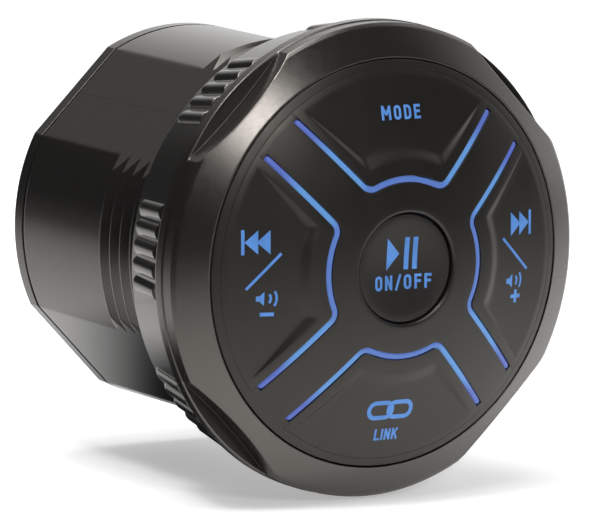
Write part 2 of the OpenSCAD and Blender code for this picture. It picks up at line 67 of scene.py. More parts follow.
scene = bpy.context.scene
nodes = frame["nodes"]

# Sizes of the pieces made here are in millimetres
MM = 0.001

# Camera: where the photograph was taken from, seen from the middle of the face's gap line
VIEW_AZIMUTH = -33.376
VIEW_ELEVATION = 8.737
VIEW_ROLL = 1.683
VIEW_DISTANCE = 1507.4
VIEW_ASIDE = 17.86
VIEW_UP = -0.5
FOCAL_LENGTH = 432.9
SENSOR_WIDTH = 36.0
SHIFT_X = 0.0011
SHIFT_Y = 0.0036

# Domed face, the same sizes as in the part's source
GAP_Y = -9.9
FACE_R = 43.0
DOME_H = 9.0
FACE_WALL = 2.4
LEDGE_Y = -5.0
SKIRT_R = 41.5
WINDOW_R = 41.2
ARM_W = 8.8
HUB_R = 18.0
BEND_R = 3.3
LINE_W = 1.3
GUIDE_T = 3.6
POWER_R = 11.15
HUB_HOLE_R = 11.75
STEM_AT = 25.5
STEM_R = 1.6
BOSS_AT = 33.4
BOSS_R = 2.9
BOSS_HOLE_R = 1.1

# Screws of the rear cover, the same sizes as in the part's source, and their sockets
SCREW_AT = 36.0
SCREW_TURN = 25
HEAD_R = 2.6
HEAD_Y = 71.9
SEAT_Y = 70.2
SHANK_R = 1.25
TIP_Y = 61.2
HEAD_EDGE = 0.25
SOCKET_R = 1.5
SOCKET_DEPTH = 1.0

# Soft forms of the moulding that the plain solids leave out
RIM_R = 42.98
RIM_ROLL_W = 0.2
RIM_ROLL_DROP = 0.15
SKIRT_FOLD = 0.08
CREASE_R = 41.19
CREASE_HALF_W = 0.14
CREASE_DROP = 0.03
HUB_ROLL = 0.7
WINDOW_ROLL = 0.05
BOSS_HOLE_DEPTH = 5.0
BOSS_SINK = 1.2
PAD_ROLL = 0.05
PAD_GAP = 0.12
PAD_SEAM = 0.02
PAD_R = WINDOW_R - PAD_SEAM
STEP_ACROSS = ARM_W / 2 + LINE_W + PAD_GAP - PAD_SEAM
STEM_EDGE = 0.3
STEM_SINK = 1.6
DISH_SIDE = 3.3
DISH_SIDE_SLOPE = 2.1
DISH_HUB = 4.3
DISH_HUB_SLOPE = 3.0
DISH_START_R = HUB_R + DISH_HUB + DISH_HUB_SLOPE
DISH_CORNER = 1.6
DISH_DEPTH = 0.9
DISH_END_R = 39.9
DISH_END_RUN = 0.4
DISH_END_SLOPE = 0.3
DISH_FLARE = 0.85
POWER_PAD_R = 11.45
POWER_DROP = 1.0
POWER_EDGE = 0.25
POWER_EDGE_TURN = 80
POWER_LIP = 0.85
POWER_DISH = 0.75
POWER_DISH_CURVE = 1.3
POWER_STEM_SINK = 0.5
LINE_SIDE = 0.1
LINE_END_R = 39.4
SLOT_END_R = 39.65
LINE_SINK = 0.1
LINE_EDGE_DROP = 0.2
LINE_CROWN = ((0.06, 0.08), (0.17, 0.02), (0.38, 0.0))
FLAT_R = 39.0
PARTING_W = 0.14
PARTING_H = 0.03
PARTING_SINK = 0.2
PARTING_Y = (17.0, 69.0)

# Turns of the face's four arms, in degrees
ARM_TURNS = (45, 135, 225, 315)

DOME_R = (FACE_R ** 2 + DOME_H ** 2) / (2 * DOME_H)
DOME_Y = GAP_Y - DOME_H + DOME_R

# Number of steps along round stretches
ROLL_STEPS = 5
SLOPE_STEPS = 8
ARC_STEPS = 18
BEND_STEPS = 10
SIDE_STEPS = 22
CORNER_STEPS = 6
HOLLOW_STEPS = 30
LATHE_SIDES = 48
RING_SIDES = 256

# How far single spots of a mesh lie from one another and from its folds
SPOT_GAP = 0.9
SPOT_CLEAR = 0.5
FOLD_CLEAR = 0.6
SPOTS_FROM_HUB = 1.5
SPOTS_FROM_SKIRT = 0.8
SPOTS_FROM_AXIS = 0.5
SIGN_STEP = 0.5
MERGE_DISTANCE = 1e-4

# Edges that bend by more degrees than this are shaded sharp
SHARP_ANGLE = 50


def make_camera():
    """Camera at the photograph's viewing angle."""
    azimuth = math.radians(VIEW_AZIMUTH)
    elevation = math.radians(VIEW_ELEVATION)
    tilt = math.radians(VIEW_ROLL)
    back = Vector((
        math.sin(azimuth) * math.cos(elevation),
        -math.cos(azimuth) * math.cos(elevation),
        math.sin(elevation),
    ))
    level_right = (-back).cross(Vector((0, 0, 1))).normalized()
    level_up = level_right.cross(-back)
    right = math.cos(tilt) * level_right + math.sin(tilt) * level_up
    up = -math.sin(tilt) * level_right + math.cos(tilt) * level_up
    place = Vector((0, GAP_Y, 0)) + VIEW_DISTANCE * back - VIEW_ASIDE * right - VIEW_UP * up
    data = bpy.data.cameras.new("camera")
    data.lens = FOCAL_LENGTH
    data.sensor_width = SENSOR_WIDTH
    data.shift_x = SHIFT_X
    data.shift_y = SHIFT_Y
    data.clip_start = 0.05
    data.clip_end = 50.0
    camera = bpy.data.objects.new("camera", data)
    scene.collection.objects.link(camera)
    turn = Matrix((right, up, back)).transposed().to_4x4()
    camera.matrix_world = Matrix.Translation(place * MM) @ turn
    scene.camera = camera


make_camera()
scene.view_settings.view_transform = "Standard"


# Materials: tints and noise, where the finishes change in metres, and softened edges in millimetres

WARM = (1.0, 0.93, 0.86)
NOISE_RANGE = (0.3, 0.7)
FLANGE_Y = (-3.2 * MM, -2.6 * MM)
FLANGE_RIM_R = (49.9 * MM, 50.1 * MM)
FLANGE_GLOSS = 0.18
THREAD_END_Y = (34 * MM, 37 * MM)
BARREL_END_Y = (65 * MM, 68 * MM)
LINE_COLOUR_R = (18 * MM, 40 * MM)
BEZEL_EDGE = 0.55
CASE_EDGE = 0.35
BARREL_EDGE = 1.6
INNER_EDGE = 0.15


def new_material(name, colour, roughness, metallic=0.0, specular=0.5, ior=1.5, tint=(1.0, 1.0, 1.0)):
    """Principled material with its even values set, its node tree and its shader."""
    material = bpy.data.materials.new(name)
    material.use_nodes = True
    tree = material.node_tree
    shader = tree.nodes["Principled BSDF"]
    shader.inputs["Base Color"].default_value = (*colour, 1)
    shader.inputs["Roughness"].default_value = roughness
    shader.inputs["Metallic"].default_value = metallic
    shader.inputs["Specular IOR Level"].default_value = specular
    shader.inputs["IOR"].default_value = ior
    shader.inputs["Specular Tint"].default_value = (*tint, 1)
    return material, tree, shader


def object_place(tree):
    """Socket with the place on the object, in metres."""
    return tree.nodes.new("ShaderNodeTexCoord").outputs["Object"]


def axes(tree, place):
    """Sockets X, Y and Z of a place."""
    parts = tree.nodes.new("ShaderNodeSeparateXYZ")
    tree.links.new(place, parts.inputs["Vector"])
    return parts.outputs


def length_of(tree, vector):
    """Socket with the length of a vector."""
    length = tree.nodes.new("ShaderNodeVectorMath")
    length.operation = "LENGTH"
    tree.links.new(vector, length.inputs[0])
    return length.outputs["Value"]


def axis_distance(tree, place, across=(1, 0, 1)):
    """Socket with the distance from the barrel's axis, or from another one, in metres."""
    flat = tree.nodes.new("ShaderNodeVectorMath")
    flat.operation = "MULTIPLY"
    flat.inputs[1].default_value = across
    tree.links.new(place, flat.inputs[0])
    return length_of(tree, flat.outputs["Vector"])


def noise(tree, place, scale):
    """Socket with a soft noise of the given number of blotches per metre."""
    texture = tree.nodes.new("ShaderNodeTexNoise")
    texture.inputs["Scale"].default_value = scale
    texture.inputs["Detail"].default_value = 3
    tree.links.new(place, texture.inputs["Vector"])
    return texture.outputs["Fac"]


def spread(tree, value, given, wanted):
    """Socket with a value stretched from one range to another."""
    mapped = tree.nodes.new("ShaderNodeMapRange")
    mapped.inputs["From Min"].default_value = given[0]
    mapped.inputs["From Max"].default_value = given[1]
    mapped.inputs["To Min"].default_value = wanted[0]
    mapped.inputs["To Max"].default_value = wanted[1]
    tree.links.new(value, mapped.inputs["Value"])
    return mapped.outputs["Result"]


def colour_ramp(tree, value, stops):
    """Socket with a colour that follows (position, colour) stops."""
    ramp = tree.nodes.new("ShaderNodeValToRGB")
    elements = ramp.color_ramp.elements
    for position, _ in stops[1:-1]:
        elements.new(position)
    for element, (position, colour) in zip(elements, stops):
        element.position = position
        element.color = (*colour, 1)
    tree.links.new(value, ramp.inputs["Fac"])
    return ramp.outputs["Color"]


def grey_ramp(tree, value, stops):
    """Socket with a grey that follows (position, grey) stops."""
    return colour_ramp(tree, value, [(position, (grey, grey, grey)) for position, grey in stops])


def combined(tree, operation, first, second):
    """Socket with a sum, product, maximum or the like of two sockets."""
    maths = tree.nodes.new("ShaderNodeMath")
    maths.operation = operation
    tree.links.new(first, maths.inputs[0])
    tree.links.new(second, maths.inputs[1])
    return maths.outputs["Value"]


def soft_edges(tree, radius, radius_map=None):
    """Normal with edges rounded by a radius in millimetres, or by a socket with one in metres."""
    bevel = tree.nodes.new("ShaderNodeBevel")
    bevel.samples = 8
    bevel.inputs["Radius"].default_value = radius * MM
    if radius_map:
        tree.links.new(radius_map, bevel.inputs["Radius"])
    return bevel.outputs["Normal"]


def bumped(tree, shader, height, depth, strength, normal=None):
    """Bump of the given depth in millimetres on the shader's normal."""
    bump = tree.nodes.new("ShaderNodeBump")
    bump.inputs["Distance"].default_value = depth * MM
    bump.inputs["Strength"].default_value = strength
    tree.links.new(height, bump.inputs["Height"])
    if normal:
        tree.links.new(normal, bump.inputs["Normal"])
    tree.links.new(bump.outputs["Normal"], shader.inputs["Normal"])


def uneven_gloss(tree, shader, texture, roughness):
    """Roughness that follows a noise over the given range."""
    tree.links.new(spread(tree, texture, NOISE_RANGE, roughness), shader.inputs["Roughness"])


def lit(tree, shader, colour, strength):
    """Glow of the given strength in a socket's colour."""
    tree.links.new(colour, shader.inputs["Emission Color"])
    shader.inputs["Emission Strength"].default_value = strength


def make_silicone():
    """Matte black silicone with a fine moulded grain."""
    material, tree, shader = new_material("silicone", (0.01, 0.009, 0.008), 0.4, specular=0.62, tint=WARM)
    place = object_place(tree)
    uneven_gloss(tree, shader, noise(tree, place, 160), (0.35, 0.4))
    bumped(tree, shader, noise(tree, place, 5200), 0.05, 0.12)
    return material


def make_satin_black():
    """Satin black bezel with a spark-eroded speckle, duller on the flange behind the scallops."""
    material, tree, shader = new_material(
        "satin_black", (0.01, 0.0095, 0.009), 0.23, specular=1.0, ior=1.65, tint=WARM)
    place = object_place(tree)
    uneven_gloss(tree, shader, noise(tree, place, 1400), (0.21, 0.26))
    front = spread(tree, axes(tree, place)["Y"], FLANGE_Y, (1, FLANGE_GLOSS))
    rim = spread(tree, axis_distance(tree, place), FLANGE_RIM_R, (0, 1))
    tree.links.new(combined(tree, "MAXIMUM", front, rim), shader.inputs["Specular IOR Level"])
    bumped(tree, shader, noise(tree, place, 4200), 0.06, 0.3, soft_edges(tree, BEZEL_EDGE))
    return material


def on_flats(tree, parts):
    """Socket that is one on the barrel's four flats and zero on its round lobes."""
    total = combined(tree, "ADD", parts["X"], parts["Z"])
    rest = combined(tree, "SUBTRACT", parts["X"], parts["Z"])
    squares = [combined(tree, "MULTIPLY", value, value) for value in (total, rest)]
    square = combined(tree, "MAXIMUM", *squares)
    flat = (FLAT_R * MM) ** 2 * 2
    inside = spread(tree, square, (0.98 * flat, 0.995 * flat), (0, 1))
    outside = spread(tree, square, (1.005 * flat, 1.02 * flat), (1, 0))
    return combined(tree, "MULTIPLY", inside, outside)


def make_turned_black():
    """Black case with fine lines round the axis, most of all on its flats, and softened edges."""
    material, tree, shader = new_material(
        "turned_black", (0.011, 0.0105, 0.01), 0.22, specular=0.75, ior=1.65, tint=WARM)
    parts = axes(tree, object_place(tree))
    texture = tree.nodes.new("ShaderNodeTexNoise")
    texture.noise_dimensions = "1D"
    texture.inputs["Scale"].default_value = 1700
    texture.inputs["Detail"].default_value = 4
    tree.links.new(parts["Y"], texture.inputs["W"])
    lines = texture.outputs["Fac"]
    uneven_gloss(tree, shader, lines, (0.19, 0.25))
    dulling = spread(tree, lines, (0.35, 0.65), (0.4, 0))
    dulling = combined(tree, "MULTIPLY", dulling, on_flats(tree, parts))
    tree.links.new(spread(tree, dulling, (0, 1), (0.8, 0)), shader.inputs["Specular IOR Level"])
    wider = spread(tree, parts["Y"], THREAD_END_Y, (CASE_EDGE * MM, BARREL_EDGE * MM))
    closer = spread(tree, parts["Y"], BARREL_END_Y, (BARREL_EDGE * MM, CASE_EDGE * MM))
    edges = soft_edges(tree, CASE_EDGE, combined(tree, "MINIMUM", wider, closer))
    bumped(tree, shader, lines, 0.01, 0.2, edges)
    return material


def make_rubber():
    """Dull black seal rubber."""
    material, tree, shader = new_material("rubber", (0.016, 0.016, 0.016), 0.72)
    bumped(tree, shader, noise(tree, object_place(tree), 2400), 0.05, 0.2)
    return material


def make_inner_plastic():
    """Dark grey glass-filled plastic of the inner mouldings."""
    material, tree, shader = new_material("inner_plastic", (0.035, 0.035, 0.038), 0.5)
    bumped(tree, shader, noise(tree, object_place(tree), 1800), 0.05, 0.2, soft_edges(tree, INNER_EDGE))
    return material


def make_metal(name, colour, roughness):
    """Plain metal with slightly uneven gloss."""
    material, tree, shader = new_material(name, colour, roughness, metallic=1.0)
    blotches = noise(tree, object_place(tree), 700)
    uneven_gloss(tree, shader, blotches, (roughness - 0.06, roughness + 0.08))
    return material


def make_board():
    """Green solder mask with a hint of the copper under it."""
    material, tree, shader = new_material("board", (0.02, 0.16, 0.06), 0.35)
    stops = ((0.45, (0.012, 0.11, 0.04)), (0.55, (0.03, 0.2, 0.08)))
    colour = colour_ramp(tree, noise(tree, object_place(tree), 420), stops)
    tree.links.new(colour, shader.inputs["Base Color"])
    return material


def make_chip():
    """Matte black resin of the chips."""
    material, tree, shader = new_material("chip", (0.022, 0.022, 0.025), 0.6)
    bumped(tree, shader, noise(tree, object_place(tree), 3000), 0.04, 0.2)
    return material


def make_light():
    """Blue light lines, more violet at the hub and at the outer ends."""
    material, tree, shader = new_material("light", (0.03, 0.06, 0.18), 0.4)
    hub = (0.09, 0.17, 0.48)
    blue = (0.115, 0.3, 0.63)
    violet = (0.08, 0.115, 0.42)
    stops = ((0.05, hub), (0.16, blue), (0.55, blue), (0.78, violet))
    share = spread(tree, axis_distance(tree, object_place(tree)), LINE_COLOUR_R, (0, 1))
    lit(tree, shader, colour_ramp(tree, share, stops), 0.84)
    return material


def make_legend():
    """Lit signs on the keys."""
    material, tree, shader = new_material("legend", (0.03, 0.06, 0.14), 0.5)
    stops = ((0.3, (0.06, 0.2, 0.55)), (0.7, (0.1, 0.3, 0.76)))
    lit(tree, shader, colour_ramp(tree, noise(tree, object_place(tree), 260), stops), 0.78)
    return material


def make_lamp():
    """Clear blue bodies of the lamps."""
    material, tree, shader = new_material("lamp", (0.3, 0.45, 0.8), 0.2)
    shader.inputs["Emission Color"].default_value = (0.2, 0.4, 0.9, 1)
    shader.inputs["Emission Strength"].default_value = 0.5
    bumped(tree, shader, noise(tree, object_place(tree), 1500), 0.03, 0.2)
    return material


silicone = make_silicone()
light = make_light()
legend = make_legend()
FINISHES = {
    "bezel": make_satin_black(),
    "keypad": silicone,
    "light": light,
    "lamp": make_lamp(),
    "case": make_turned_black(),
    "rubber": make_rubber(),
    "inner_plastic": make_inner_plastic(),
    "board": make_board(),
    "steel": make_metal("steel", (0.58, 0.58, 0.6), 0.3),
    "chip": make_chip(),
    "metal": make_metal("aluminium", (0.7, 0.71, 0.73), 0.38),
}
for subpart in frame["record"]["subparts"]:
    mesh = nodes[subpart["node"]].data
    mesh.materials.clear()
    mesh.materials.append(FINISHES[subpart["material_slot"]])


# Meshes

def joined(*shells):
    """One list of points and faces from several closed shells."""
    points = []
    faces = []
    for shell_points, shell_faces in shells:
        start = len(points)
        points += shell_points
        faces += [tuple(start + i for i in face) for face in shell_faces]
    return points, faces


def piece(name, shell, material, body):
    """Object from closed shells in millimetres that rides on a body of the frame."""
    points, faces = shell
    mesh = bpy.data.meshes.new(name)
    mesh.from_pydata([Vector(point) * MM for point in points], [], faces)
    shape = bmesh.new()
    shape.from_mesh(mesh)
    bmesh.ops.recalc_face_normals(shape, faces=shape.faces)
    shape.to_mesh(mesh)
    shape.free()
    mesh.shade_smooth()
    mesh.set_sharp_from_angle(angle=math.radians(SHARP_ANGLE))
    mesh.materials.append(material)
    thing = bpy.data.objects.new(name, mesh)
    scene.collection.objects.link(thing)
    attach(thing, body)
    return thing


def lathe(profile, x=0.0, z=0.0, sides=LATHE_SIDES):
    """Shell turned about a line along Y from (radius, y) points that start and end on that line."""
    points = [(x, profile[0][1], z)]
    for radius, y in profile[1:-1]:
        for side in range(sides):
            angle = 2 * math.pi * side / sides
            points.append((x + radius * math.cos(angle), y, z + radius * math.sin(angle)))
    points.append((x, profile[-1][1], z))
    rings = len(profile) - 2
    last = len(points) - 1
    faces = []
    for side in range(sides):
        after = (side + 1) % sides
        faces.append((0, 1 + after, 1 + side))
        for ring in range(rings - 1):
            low = 1 + ring * sides
            high = low + sides
            faces.append((low + side, low + after, high + after, high + side))
        outer = 1 + (rings - 1) * sides
        faces.append((outer + side, outer + after, last))
    return points, faces


def enclosed(spots, loops):
    """Which of the (x, z) spots lie inside an odd number of the loops."""
    x, z = np.array(spots).T
    odd = np.zeros(len(x), bool)
    for loop in loops:
        ends = np.array([(point[0], point[-1]) for point in loop])
        for (x0, z0), (x1, z1) in zip(ends, np.roll(ends, -1, axis=0)):
            if z0 != z1:
                odd ^= ((z0 > z) != (z1 > z)) & (x < x0 + (z - z0) * (x1 - x0) / (z1 - z0))
    return odd


def covered(spots, outlines):
    """Which of the (x, z) spots lie inside any of the outlines."""
    return np.any([enclosed(spots, [outline]) for outline in outlines], axis=0)


def centres(places, triangles):
    """Middles of triangles that are given by the numbers of their corners."""
    return [sum((places[i] for i in triangle), Vector((0, 0))) / 3 for triangle in triangles]


def loop_links(loops):
    """Index pairs along closed loops whose points follow one another in one list."""
    links = []
    start = 0
    for loop in loops:
        count = len(loop)
        links += [(start + i, start + (i + 1) % count) for i in range(count)]
        start += count
    return links


def thickened(front, triangles, rear):
    """Closed shell: front triangles, a rear copy of them and walls along their free edges."""
    used = sorted({i for triangle in triangles for i in triangle})
    number = {old: new for new, old in enumerate(used)}
    count = len(used)
    points = [front[i] for i in used] + [rear(front[i]) for i in used]
    faces = []
    edges = set()
    for triangle in triangles:
        a, b, c = (number[i] for i in triangle)
        faces += [(a, b, c), (c + count, b + count, a + count)]
        edges |= {(a, b), (b, c), (c, a)}
    faces += [(b, a, a + count, b + count) for a, b in sorted(edges) if (b, a) not in edges]
    return points, faces


def slab(borders, folds, spots, rear):
    """Closed shell whose front runs through border loops, fold loops and single spots."""
    loops = borders + folds
    given = [point for loop in loops for point in loop] + spots
    flat = [Vector((point[0], point[2])) for point in given]
    filled = delaunay_2d_cdt(flat, loop_links(loops), [], 0, MERGE_DISTANCE)
    places, _, triangles, sources = filled[:4]
    front = [given[source[0]] for source in sources]
    kept = list(compress(triangles, enclosed(centres(places, triangles), borders)))
    return thickened(front, kept, rear)


def refined(outline, step):
    """Closed outline with more points, at most a step apart."""
    points = []
    for start, end in zip(outline, outline[1:] + outline[:1]):
        parts = math.ceil(math.dist(start, end) / step)
        points += line(start, end, parts)[:-1]
    return points


def inner_spots(outlines, step):
    """Grid of spots a step apart inside any of the outlines."""
    corners = np.array([point for outline in outlines for point in outline])
    across, up = (np.arange(low, high, step) for low, high in zip(corners.min(0), corners.max(0)))
    grid = [(x, z) for x in across for z in up]
    return list(compress(grid, covered(grid, outlines)))


def stamp(outlines, height, thickness):
    """Closed shell of overlapping flat outlines laid on a surface y = height(x, z)."""
    outlines = [refined(outline, SIGN_STEP) for outline in outlines]
    flat = [Vector(point) for outline in outlines for point in outline]
    flat += [Vector(spot) for spot in inner_spots(outlines, SIGN_STEP)]
    places, _, triangles = delaunay_2d_cdt(flat, loop_links(outlines), [], 0, MERGE_DISTANCE)[:3]
    front = [(place.x, height(place.x, place.y), place.y) for place in places]
    kept = list(compress(triangles, covered(centres(places, triangles), outlines)))
    return thickened(front, kept, lambda point: (point[0], point[1] + thickness, point[2]))


def turned(points, quarters):
    """Points turned clockwise by quarters, as seen from the front."""
    for _ in range(quarters):
        points = [(z, y, -x) for x, y, z in points]
    return points


def quarter_turned(shell, quarters):
    """Shell turned clockwise by quarters, as seen from the front."""
    points, faces = shell
    return turned(points, quarters), faces


# Outlines of the face

def dome_at(radius):
    """Y of the domed face at a distance from the axis."""
    return DOME_Y - math.sqrt(DOME_R ** 2 - radius ** 2)


def diagonal(along, across):
    """Point by its place along and across the upper right diagonal."""
    return ((along - across) / math.sqrt(2), (along + across) / math.sqrt(2))


def arc(centre, radius, start, end, steps):
    """Points along an arc, its angles in degrees."""
    points = []
    for step in range(steps + 1):
        angle = math.radians(start + (end - start) * step / steps)
        points.append((centre[0] + radius * math.cos(angle), centre[1] + radius * math.sin(angle)))
    return points


def polar(radius, turn):
    """Point at a distance from the axis, its turn in degrees."""
    return arc((0, 0), radius, turn, turn, 1)[0]


def line(start, end, steps):
    """Points along a straight line."""
    return [
        (start[0] + (end[0] - start[0]) * step / steps, start[1] + (end[1] - start[1]) * step / steps)
        for step in range(steps + 1)
    ]


def hub_side(inset, hub_inset):
    """Right half of an outline along the hub and its bend, and where the straight side begins."""
    across = ARM_W / 2 + inset
    inner = HUB_R + hub_inset
    bend = max(BEND_R - inset, DISH_CORNER)
    along = math.sqrt((inner + bend) ** 2 - (across + bend) ** 2)
    centre = diagonal(along, across + bend)
    lean = math.degrees(math.atan2(centre[1], centre[0]))
    hub = arc((0, 0), inner, 90, lean, ARC_STEPS)
    turn = arc(centre, bend, lean + 180, 315, BEND_STEPS)
    return hub + turn[1:], along


def along_at(radius, across):
    """Place along the diagonal where a line beside it meets a circle."""
    return math.sqrt(radius ** 2 - across ** 2)


def mirrored(half):
    """Closed loop of a right half that starts and ends on the middle line, and its mirror image."""
    return half + [(-x, z) for x, z in half[-2:0:-1]]


def outer_end(start, radius):
    """Arc from a point on a circle round the axis to the circle's top."""
    return arc((0, 0), radius, math.degrees(math.atan2(start[1], start[0])), 90, ARC_STEPS)[1:]


def sector(inset, radius, hub_inset=None, flare=0.0):
    """Outline of the upper key's sector, its sides drawn in by inset; flare widens its outer end."""
    half, along = hub_side(inset, inset if hub_inset is None else hub_inset)
    across = ARM_W / 2 + inset
    end = diagonal(along_at(radius, across - flare), across - flare)
    half += line(diagonal(along, across), end, SIDE_STEPS)[1:]
    return mirrored(half + outer_end(end, radius))


def window(grow):
    """Outline of the opening for the upper key and its light line, grown all round."""
    half, along = hub_side(-grow, -grow)
    across = ARM_W / 2 - grow
    step_across = STEP_ACROSS - grow
    line_end = diagonal(along_at(SLOT_END_R + grow, across), across)
    step_end = diagonal(along_at(SLOT_END_R + grow, step_across), step_across)
    rim_end = diagonal(along_at(WINDOW_R + grow, step_across), step_across)
    half += line(diagonal(along, across), line_end, SIDE_STEPS)[1:]
    half += [step_end, rim_end]
    return mirrored(half + outer_end(rim_end, WINDOW_R + grow))


def ribbon(low, high, end_radius):
    """Outline of the upper light line between two insets, with round ends."""
    half_w = (high - low) / 2
    middle = ARM_W / 2 + (low + high) / 2
    reach = along_at(end_radius, middle) - half_w
    halves = []
    for inset in (low, high):
        half, along = hub_side(inset, inset)
        across = ARM_W / 2 + inset
        halves.append(half + line(diagonal(along, across), diagonal(reach, across), SIDE_STEPS)[1:])
    cap = []
    for step in range(1, BEND_STEPS):
        angle = math.pi * (step / BEND_STEPS - 0.5)
        cap.append(diagonal(reach + half_w * math.cos(angle), middle + half_w * math.sin(angle)))
    return mirrored(halves[0] + cap + halves[1][::-1])


def circle(radius):
    """Circle round the axis."""
    return arc((0, 0), radius, 0, 360, RING_SIDES)[:-1]


def lifted(outline, drop):
    """Outline laid on the dome, sunk by drop."""
    return [(x, dome_at(math.hypot(x, z)) + drop, z) for x, z in outline]


def roll(outline_at, width, depth):
    """Loops of a rounded edge: outline_at(distance) gives the outline that far from the edge."""
    loops = []
    for step in range(ROLL_STEPS + 1):
        angle = math.pi / 2 * step / ROLL_STEPS
        outline = outline_at(width * (1 - math.cos(angle)))
        loops.append(lifted(outline, depth * (1 - math.sin(angle))))
    return loops


def behind_dome(point, depth=FACE_WALL):
    """Point moved to a depth behind the dome, the inner side of the face's wall unless given."""
    return (point[0], dome_at(math.hypot(point[0], point[2])) + depth, point[2])


def polar_spots(inner, outer, gap):
    """Spots about one gap apart between two circles."""
    spots = []
    rings = round((outer - inner) / gap)
    for ring in range(rings + 1):
        radius = inner + (outer - inner) * ring / rings
        count = round(2 * math.pi * radius / gap)
        spots += arc((0, 0), radius, 0, 360, count)[:-1]
    return spots


# Fixed part of the face

def frame_rear(point):
    """Rear of the frame: the inner side of its wall, and the skirt's end under the rim."""
    if math.hypot(point[0], point[2]) > SKIRT_R:
        return (point[0], LEDGE_Y, point[2])
    return behind_dome(point)


def crease_spots():
    """Spots of the shallow crease that runs on from key to key across the four arms."""
    spots = []
    half_turn = math.degrees(math.asin(STEP_ACROSS / CREASE_R))
    count = round(2 * math.radians(half_turn) * CREASE_R / CREASE_HALF_W)
    for turn in ARM_TURNS:
        for shift, drop in ((-CREASE_HALF_W, 0), (0, CREASE_DROP), (CREASE_HALF_W, 0)):
            radius = CREASE_R + shift
            reach = half_turn - math.degrees(2 * WINDOW_ROLL / radius)
            spots += lifted(arc((0, 0), radius, turn - reach, turn + reach, count), drop)
    return spots


def screw_boss(turn):
    """Boss for a front screw with its pilot hole, behind one of the arms."""
    x, z = polar(BOSS_AT, turn)
    top = dome_at(BOSS_AT) + BOSS_SINK
    return lathe([
        (0, LEDGE_Y - BOSS_HOLE_DEPTH),
        (BOSS_HOLE_R, LEDGE_Y - BOSS_HOLE_DEPTH),
        (BOSS_HOLE_R, LEDGE_Y),
        (BOSS_R, LEDGE_Y),
        (BOSS_R, top),
        (0, top),
    ], x, z)


def make_frame():
    """Rim, arms and hub of the face in one moulding, with its skirt and screw bosses."""
    rim = roll(lambda inset: circle(RIM_R - inset), RIM_ROLL_W, RIM_ROLL_DROP)
    hub = roll(lambda inset: circle(HUB_HOLE_R + inset), HUB_ROLL, HUB_ROLL)
    openings = roll(window, WINDOW_ROLL, WINDOW_ROLL)
    borders = [rim[0], hub[0]]
    folds = rim[1:] + hub[1:] + [lifted(circle(SKIRT_R - SKIRT_FOLD), 0)]
    clear = [circle(CREASE_R - FOLD_CLEAR)]
    for quarters in range(4):
        borders.append(turned(openings[0], quarters))
        folds += [turned(loop, quarters) for loop in openings[1:]]
        clear.append(turned(lifted(window(FOLD_CLEAR), 0), quarters))
    grid = polar_spots(HUB_HOLE_R + SPOTS_FROM_HUB, SKIRT_R - SPOTS_FROM_SKIRT, SPOT_GAP)
    spots = list(compress(grid, enclosed(grid, clear)))
    face = slab(borders, folds, lifted(spots, 0) + crease_spots(), frame_rear)
    shells = [face, *(screw_boss(turn) for turn in ARM_TURNS)]
    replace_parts(piece("keypad_frame", joined(*shells), silicone, "set"), "face_frame")


# Keys

def dish_floor(radius):
    """Y of the finger dish's floor, which runs out into the dome near the rim."""
    deep = dome_at(DISH_START_R) + DISH_DEPTH
    share = (radius - DISH_START_R) / (DISH_END_R - DISH_START_R)
    floor = deep + (dome_at(DISH_END_R) - deep) * share
    return max(floor, dome_at(radius))


def dished(outline, share):
    """Outline laid on the dome and let down towards the dish's floor by a share."""
    points = []
    for x, z in outline:
        radius = math.hypot(x, z)
        top = dome_at(radius)
        points.append((x, top + share * (dish_floor(radius) - top), z))
    return points


def key_stem(at, top, rear_y):
    """Stem that reaches from inside a key to its switch."""
    return lathe([
        (0, rear_y),
        (STEM_R - STEM_EDGE, rear_y),
        (STEM_R, rear_y - STEM_EDGE),
        (STEM_R, top),
        (0, top),
    ], 0, at)


def sector_key():
    """Upper key: a sector with rounded edges and a soft finger dish."""
    seam = LINE_W + PAD_GAP
    edge = roll(lambda inset: sector(seam + inset, PAD_R - inset), PAD_ROLL, PAD_ROLL)
    folds = edge[1:]
    for step in range(SLOPE_STEPS + 1):
        share = step / SLOPE_STEPS
        side = DISH_SIDE + DISH_SIDE_SLOPE * share
        hub = DISH_HUB + DISH_HUB_SLOPE * share
        end = DISH_END_R + DISH_END_RUN - DISH_END_SLOPE * share
        flare = DISH_FLARE * DISH_SIDE_SLOPE * share
        folds.append(dished(sector(side, end, hub, flare), share * share * (3 - 2 * share)))
    floor_side = DISH_SIDE + DISH_SIDE_SLOPE
    floor_hub = DISH_HUB + DISH_HUB_SLOPE
    clear = sector(floor_side + SPOT_CLEAR, DISH_END_R - DISH_END_RUN, floor_hub + SPOT_CLEAR)
    grid = polar_spots(DISH_START_R, DISH_END_R - SPOT_CLEAR, SPOT_GAP)
    spots = list(compress(grid, enclosed(grid, [clear])))
    return slab([edge[0]], folds, dished(spots, 1), behind_dome)


def power_at(radius):
    """Y of the sunk, hollow front of the middle key."""
    dish_r = POWER_PAD_R - POWER_EDGE - POWER_LIP
    share = max(0.0, 1 - (radius / dish_r) ** 2)
    return dome_at(POWER_PAD_R) + POWER_DROP + POWER_DISH * share ** POWER_DISH_CURVE


